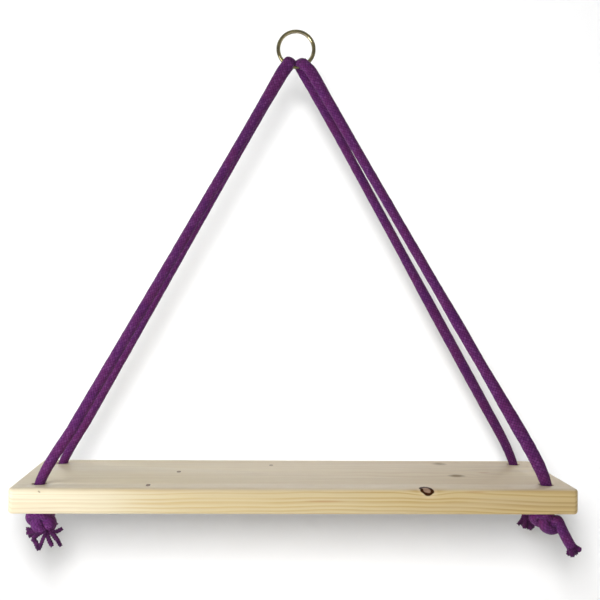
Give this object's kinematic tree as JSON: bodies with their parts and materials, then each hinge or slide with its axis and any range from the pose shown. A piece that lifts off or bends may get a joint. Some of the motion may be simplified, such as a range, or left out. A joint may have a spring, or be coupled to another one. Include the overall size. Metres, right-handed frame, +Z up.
{
  "type": "hanging rope shelf",
  "caption": "Plank shelf hung level below a metal ring on soft cords that pass through holes at its corners and end in knots with frayed tails underneath.",
  "frame": {"origin": "the inside top of the ring, where the hook that holds the shelf up bears", "axes": "+X along the board to the right as seen from the front, +Y towards the board's back edge, +Z up"},
  "size_m": [0.6083, 0.195, 0.5934],
  "materials": {
    "board": "planed and sanded pine, bare",
    "ring": "polished, slightly aged",
    "cord": "soft knitted cotton cord"
  },
  "bodies": {
    "ring": {"hanging_ring": "ring"},
    "loops": {"left_cord_loop": "cord", "right_cord_loop": "cord"},
    "legs": {"left_cord_front_leg": "cord", "left_cord_back_leg": "cord", "right_cord_front_leg": "cord", "right_cord_back_leg": "cord"},
    "shelf": {"board": "board", "left_cord_front_knot": "cord", "left_cord_back_knot": "cord", "right_cord_front_knot": "cord", "right_cord_back_knot": "cord", "left_cord_front_tail": "cord", "left_cord_back_tail": "cord", "right_cord_front_tail": "cord", "right_cord_back_tail": "cord"}
  },
  "joints": [
    {"name": "side_swing", "type": "hinge", "parent": "ring", "child": "loops", "pos_m": [0, 0, -0.018], "axis": [0, 1, 0], "range_deg": [-20, 20]},
    {"name": "fore_aft_swing", "type": "hinge", "parent": "loops", "child": "legs", "pos_m": [0, 0, -0.03558], "axis": [1, 0, 0], "range_deg": [-20, 20]},
    {"name": "board_tilt", "type": "hinge", "parent": "legs", "child": "shelf", "pos_m": [0, 0, -0.502], "axis": [1, 0, 0], "range_deg": [-5, 5]}
  ]
}
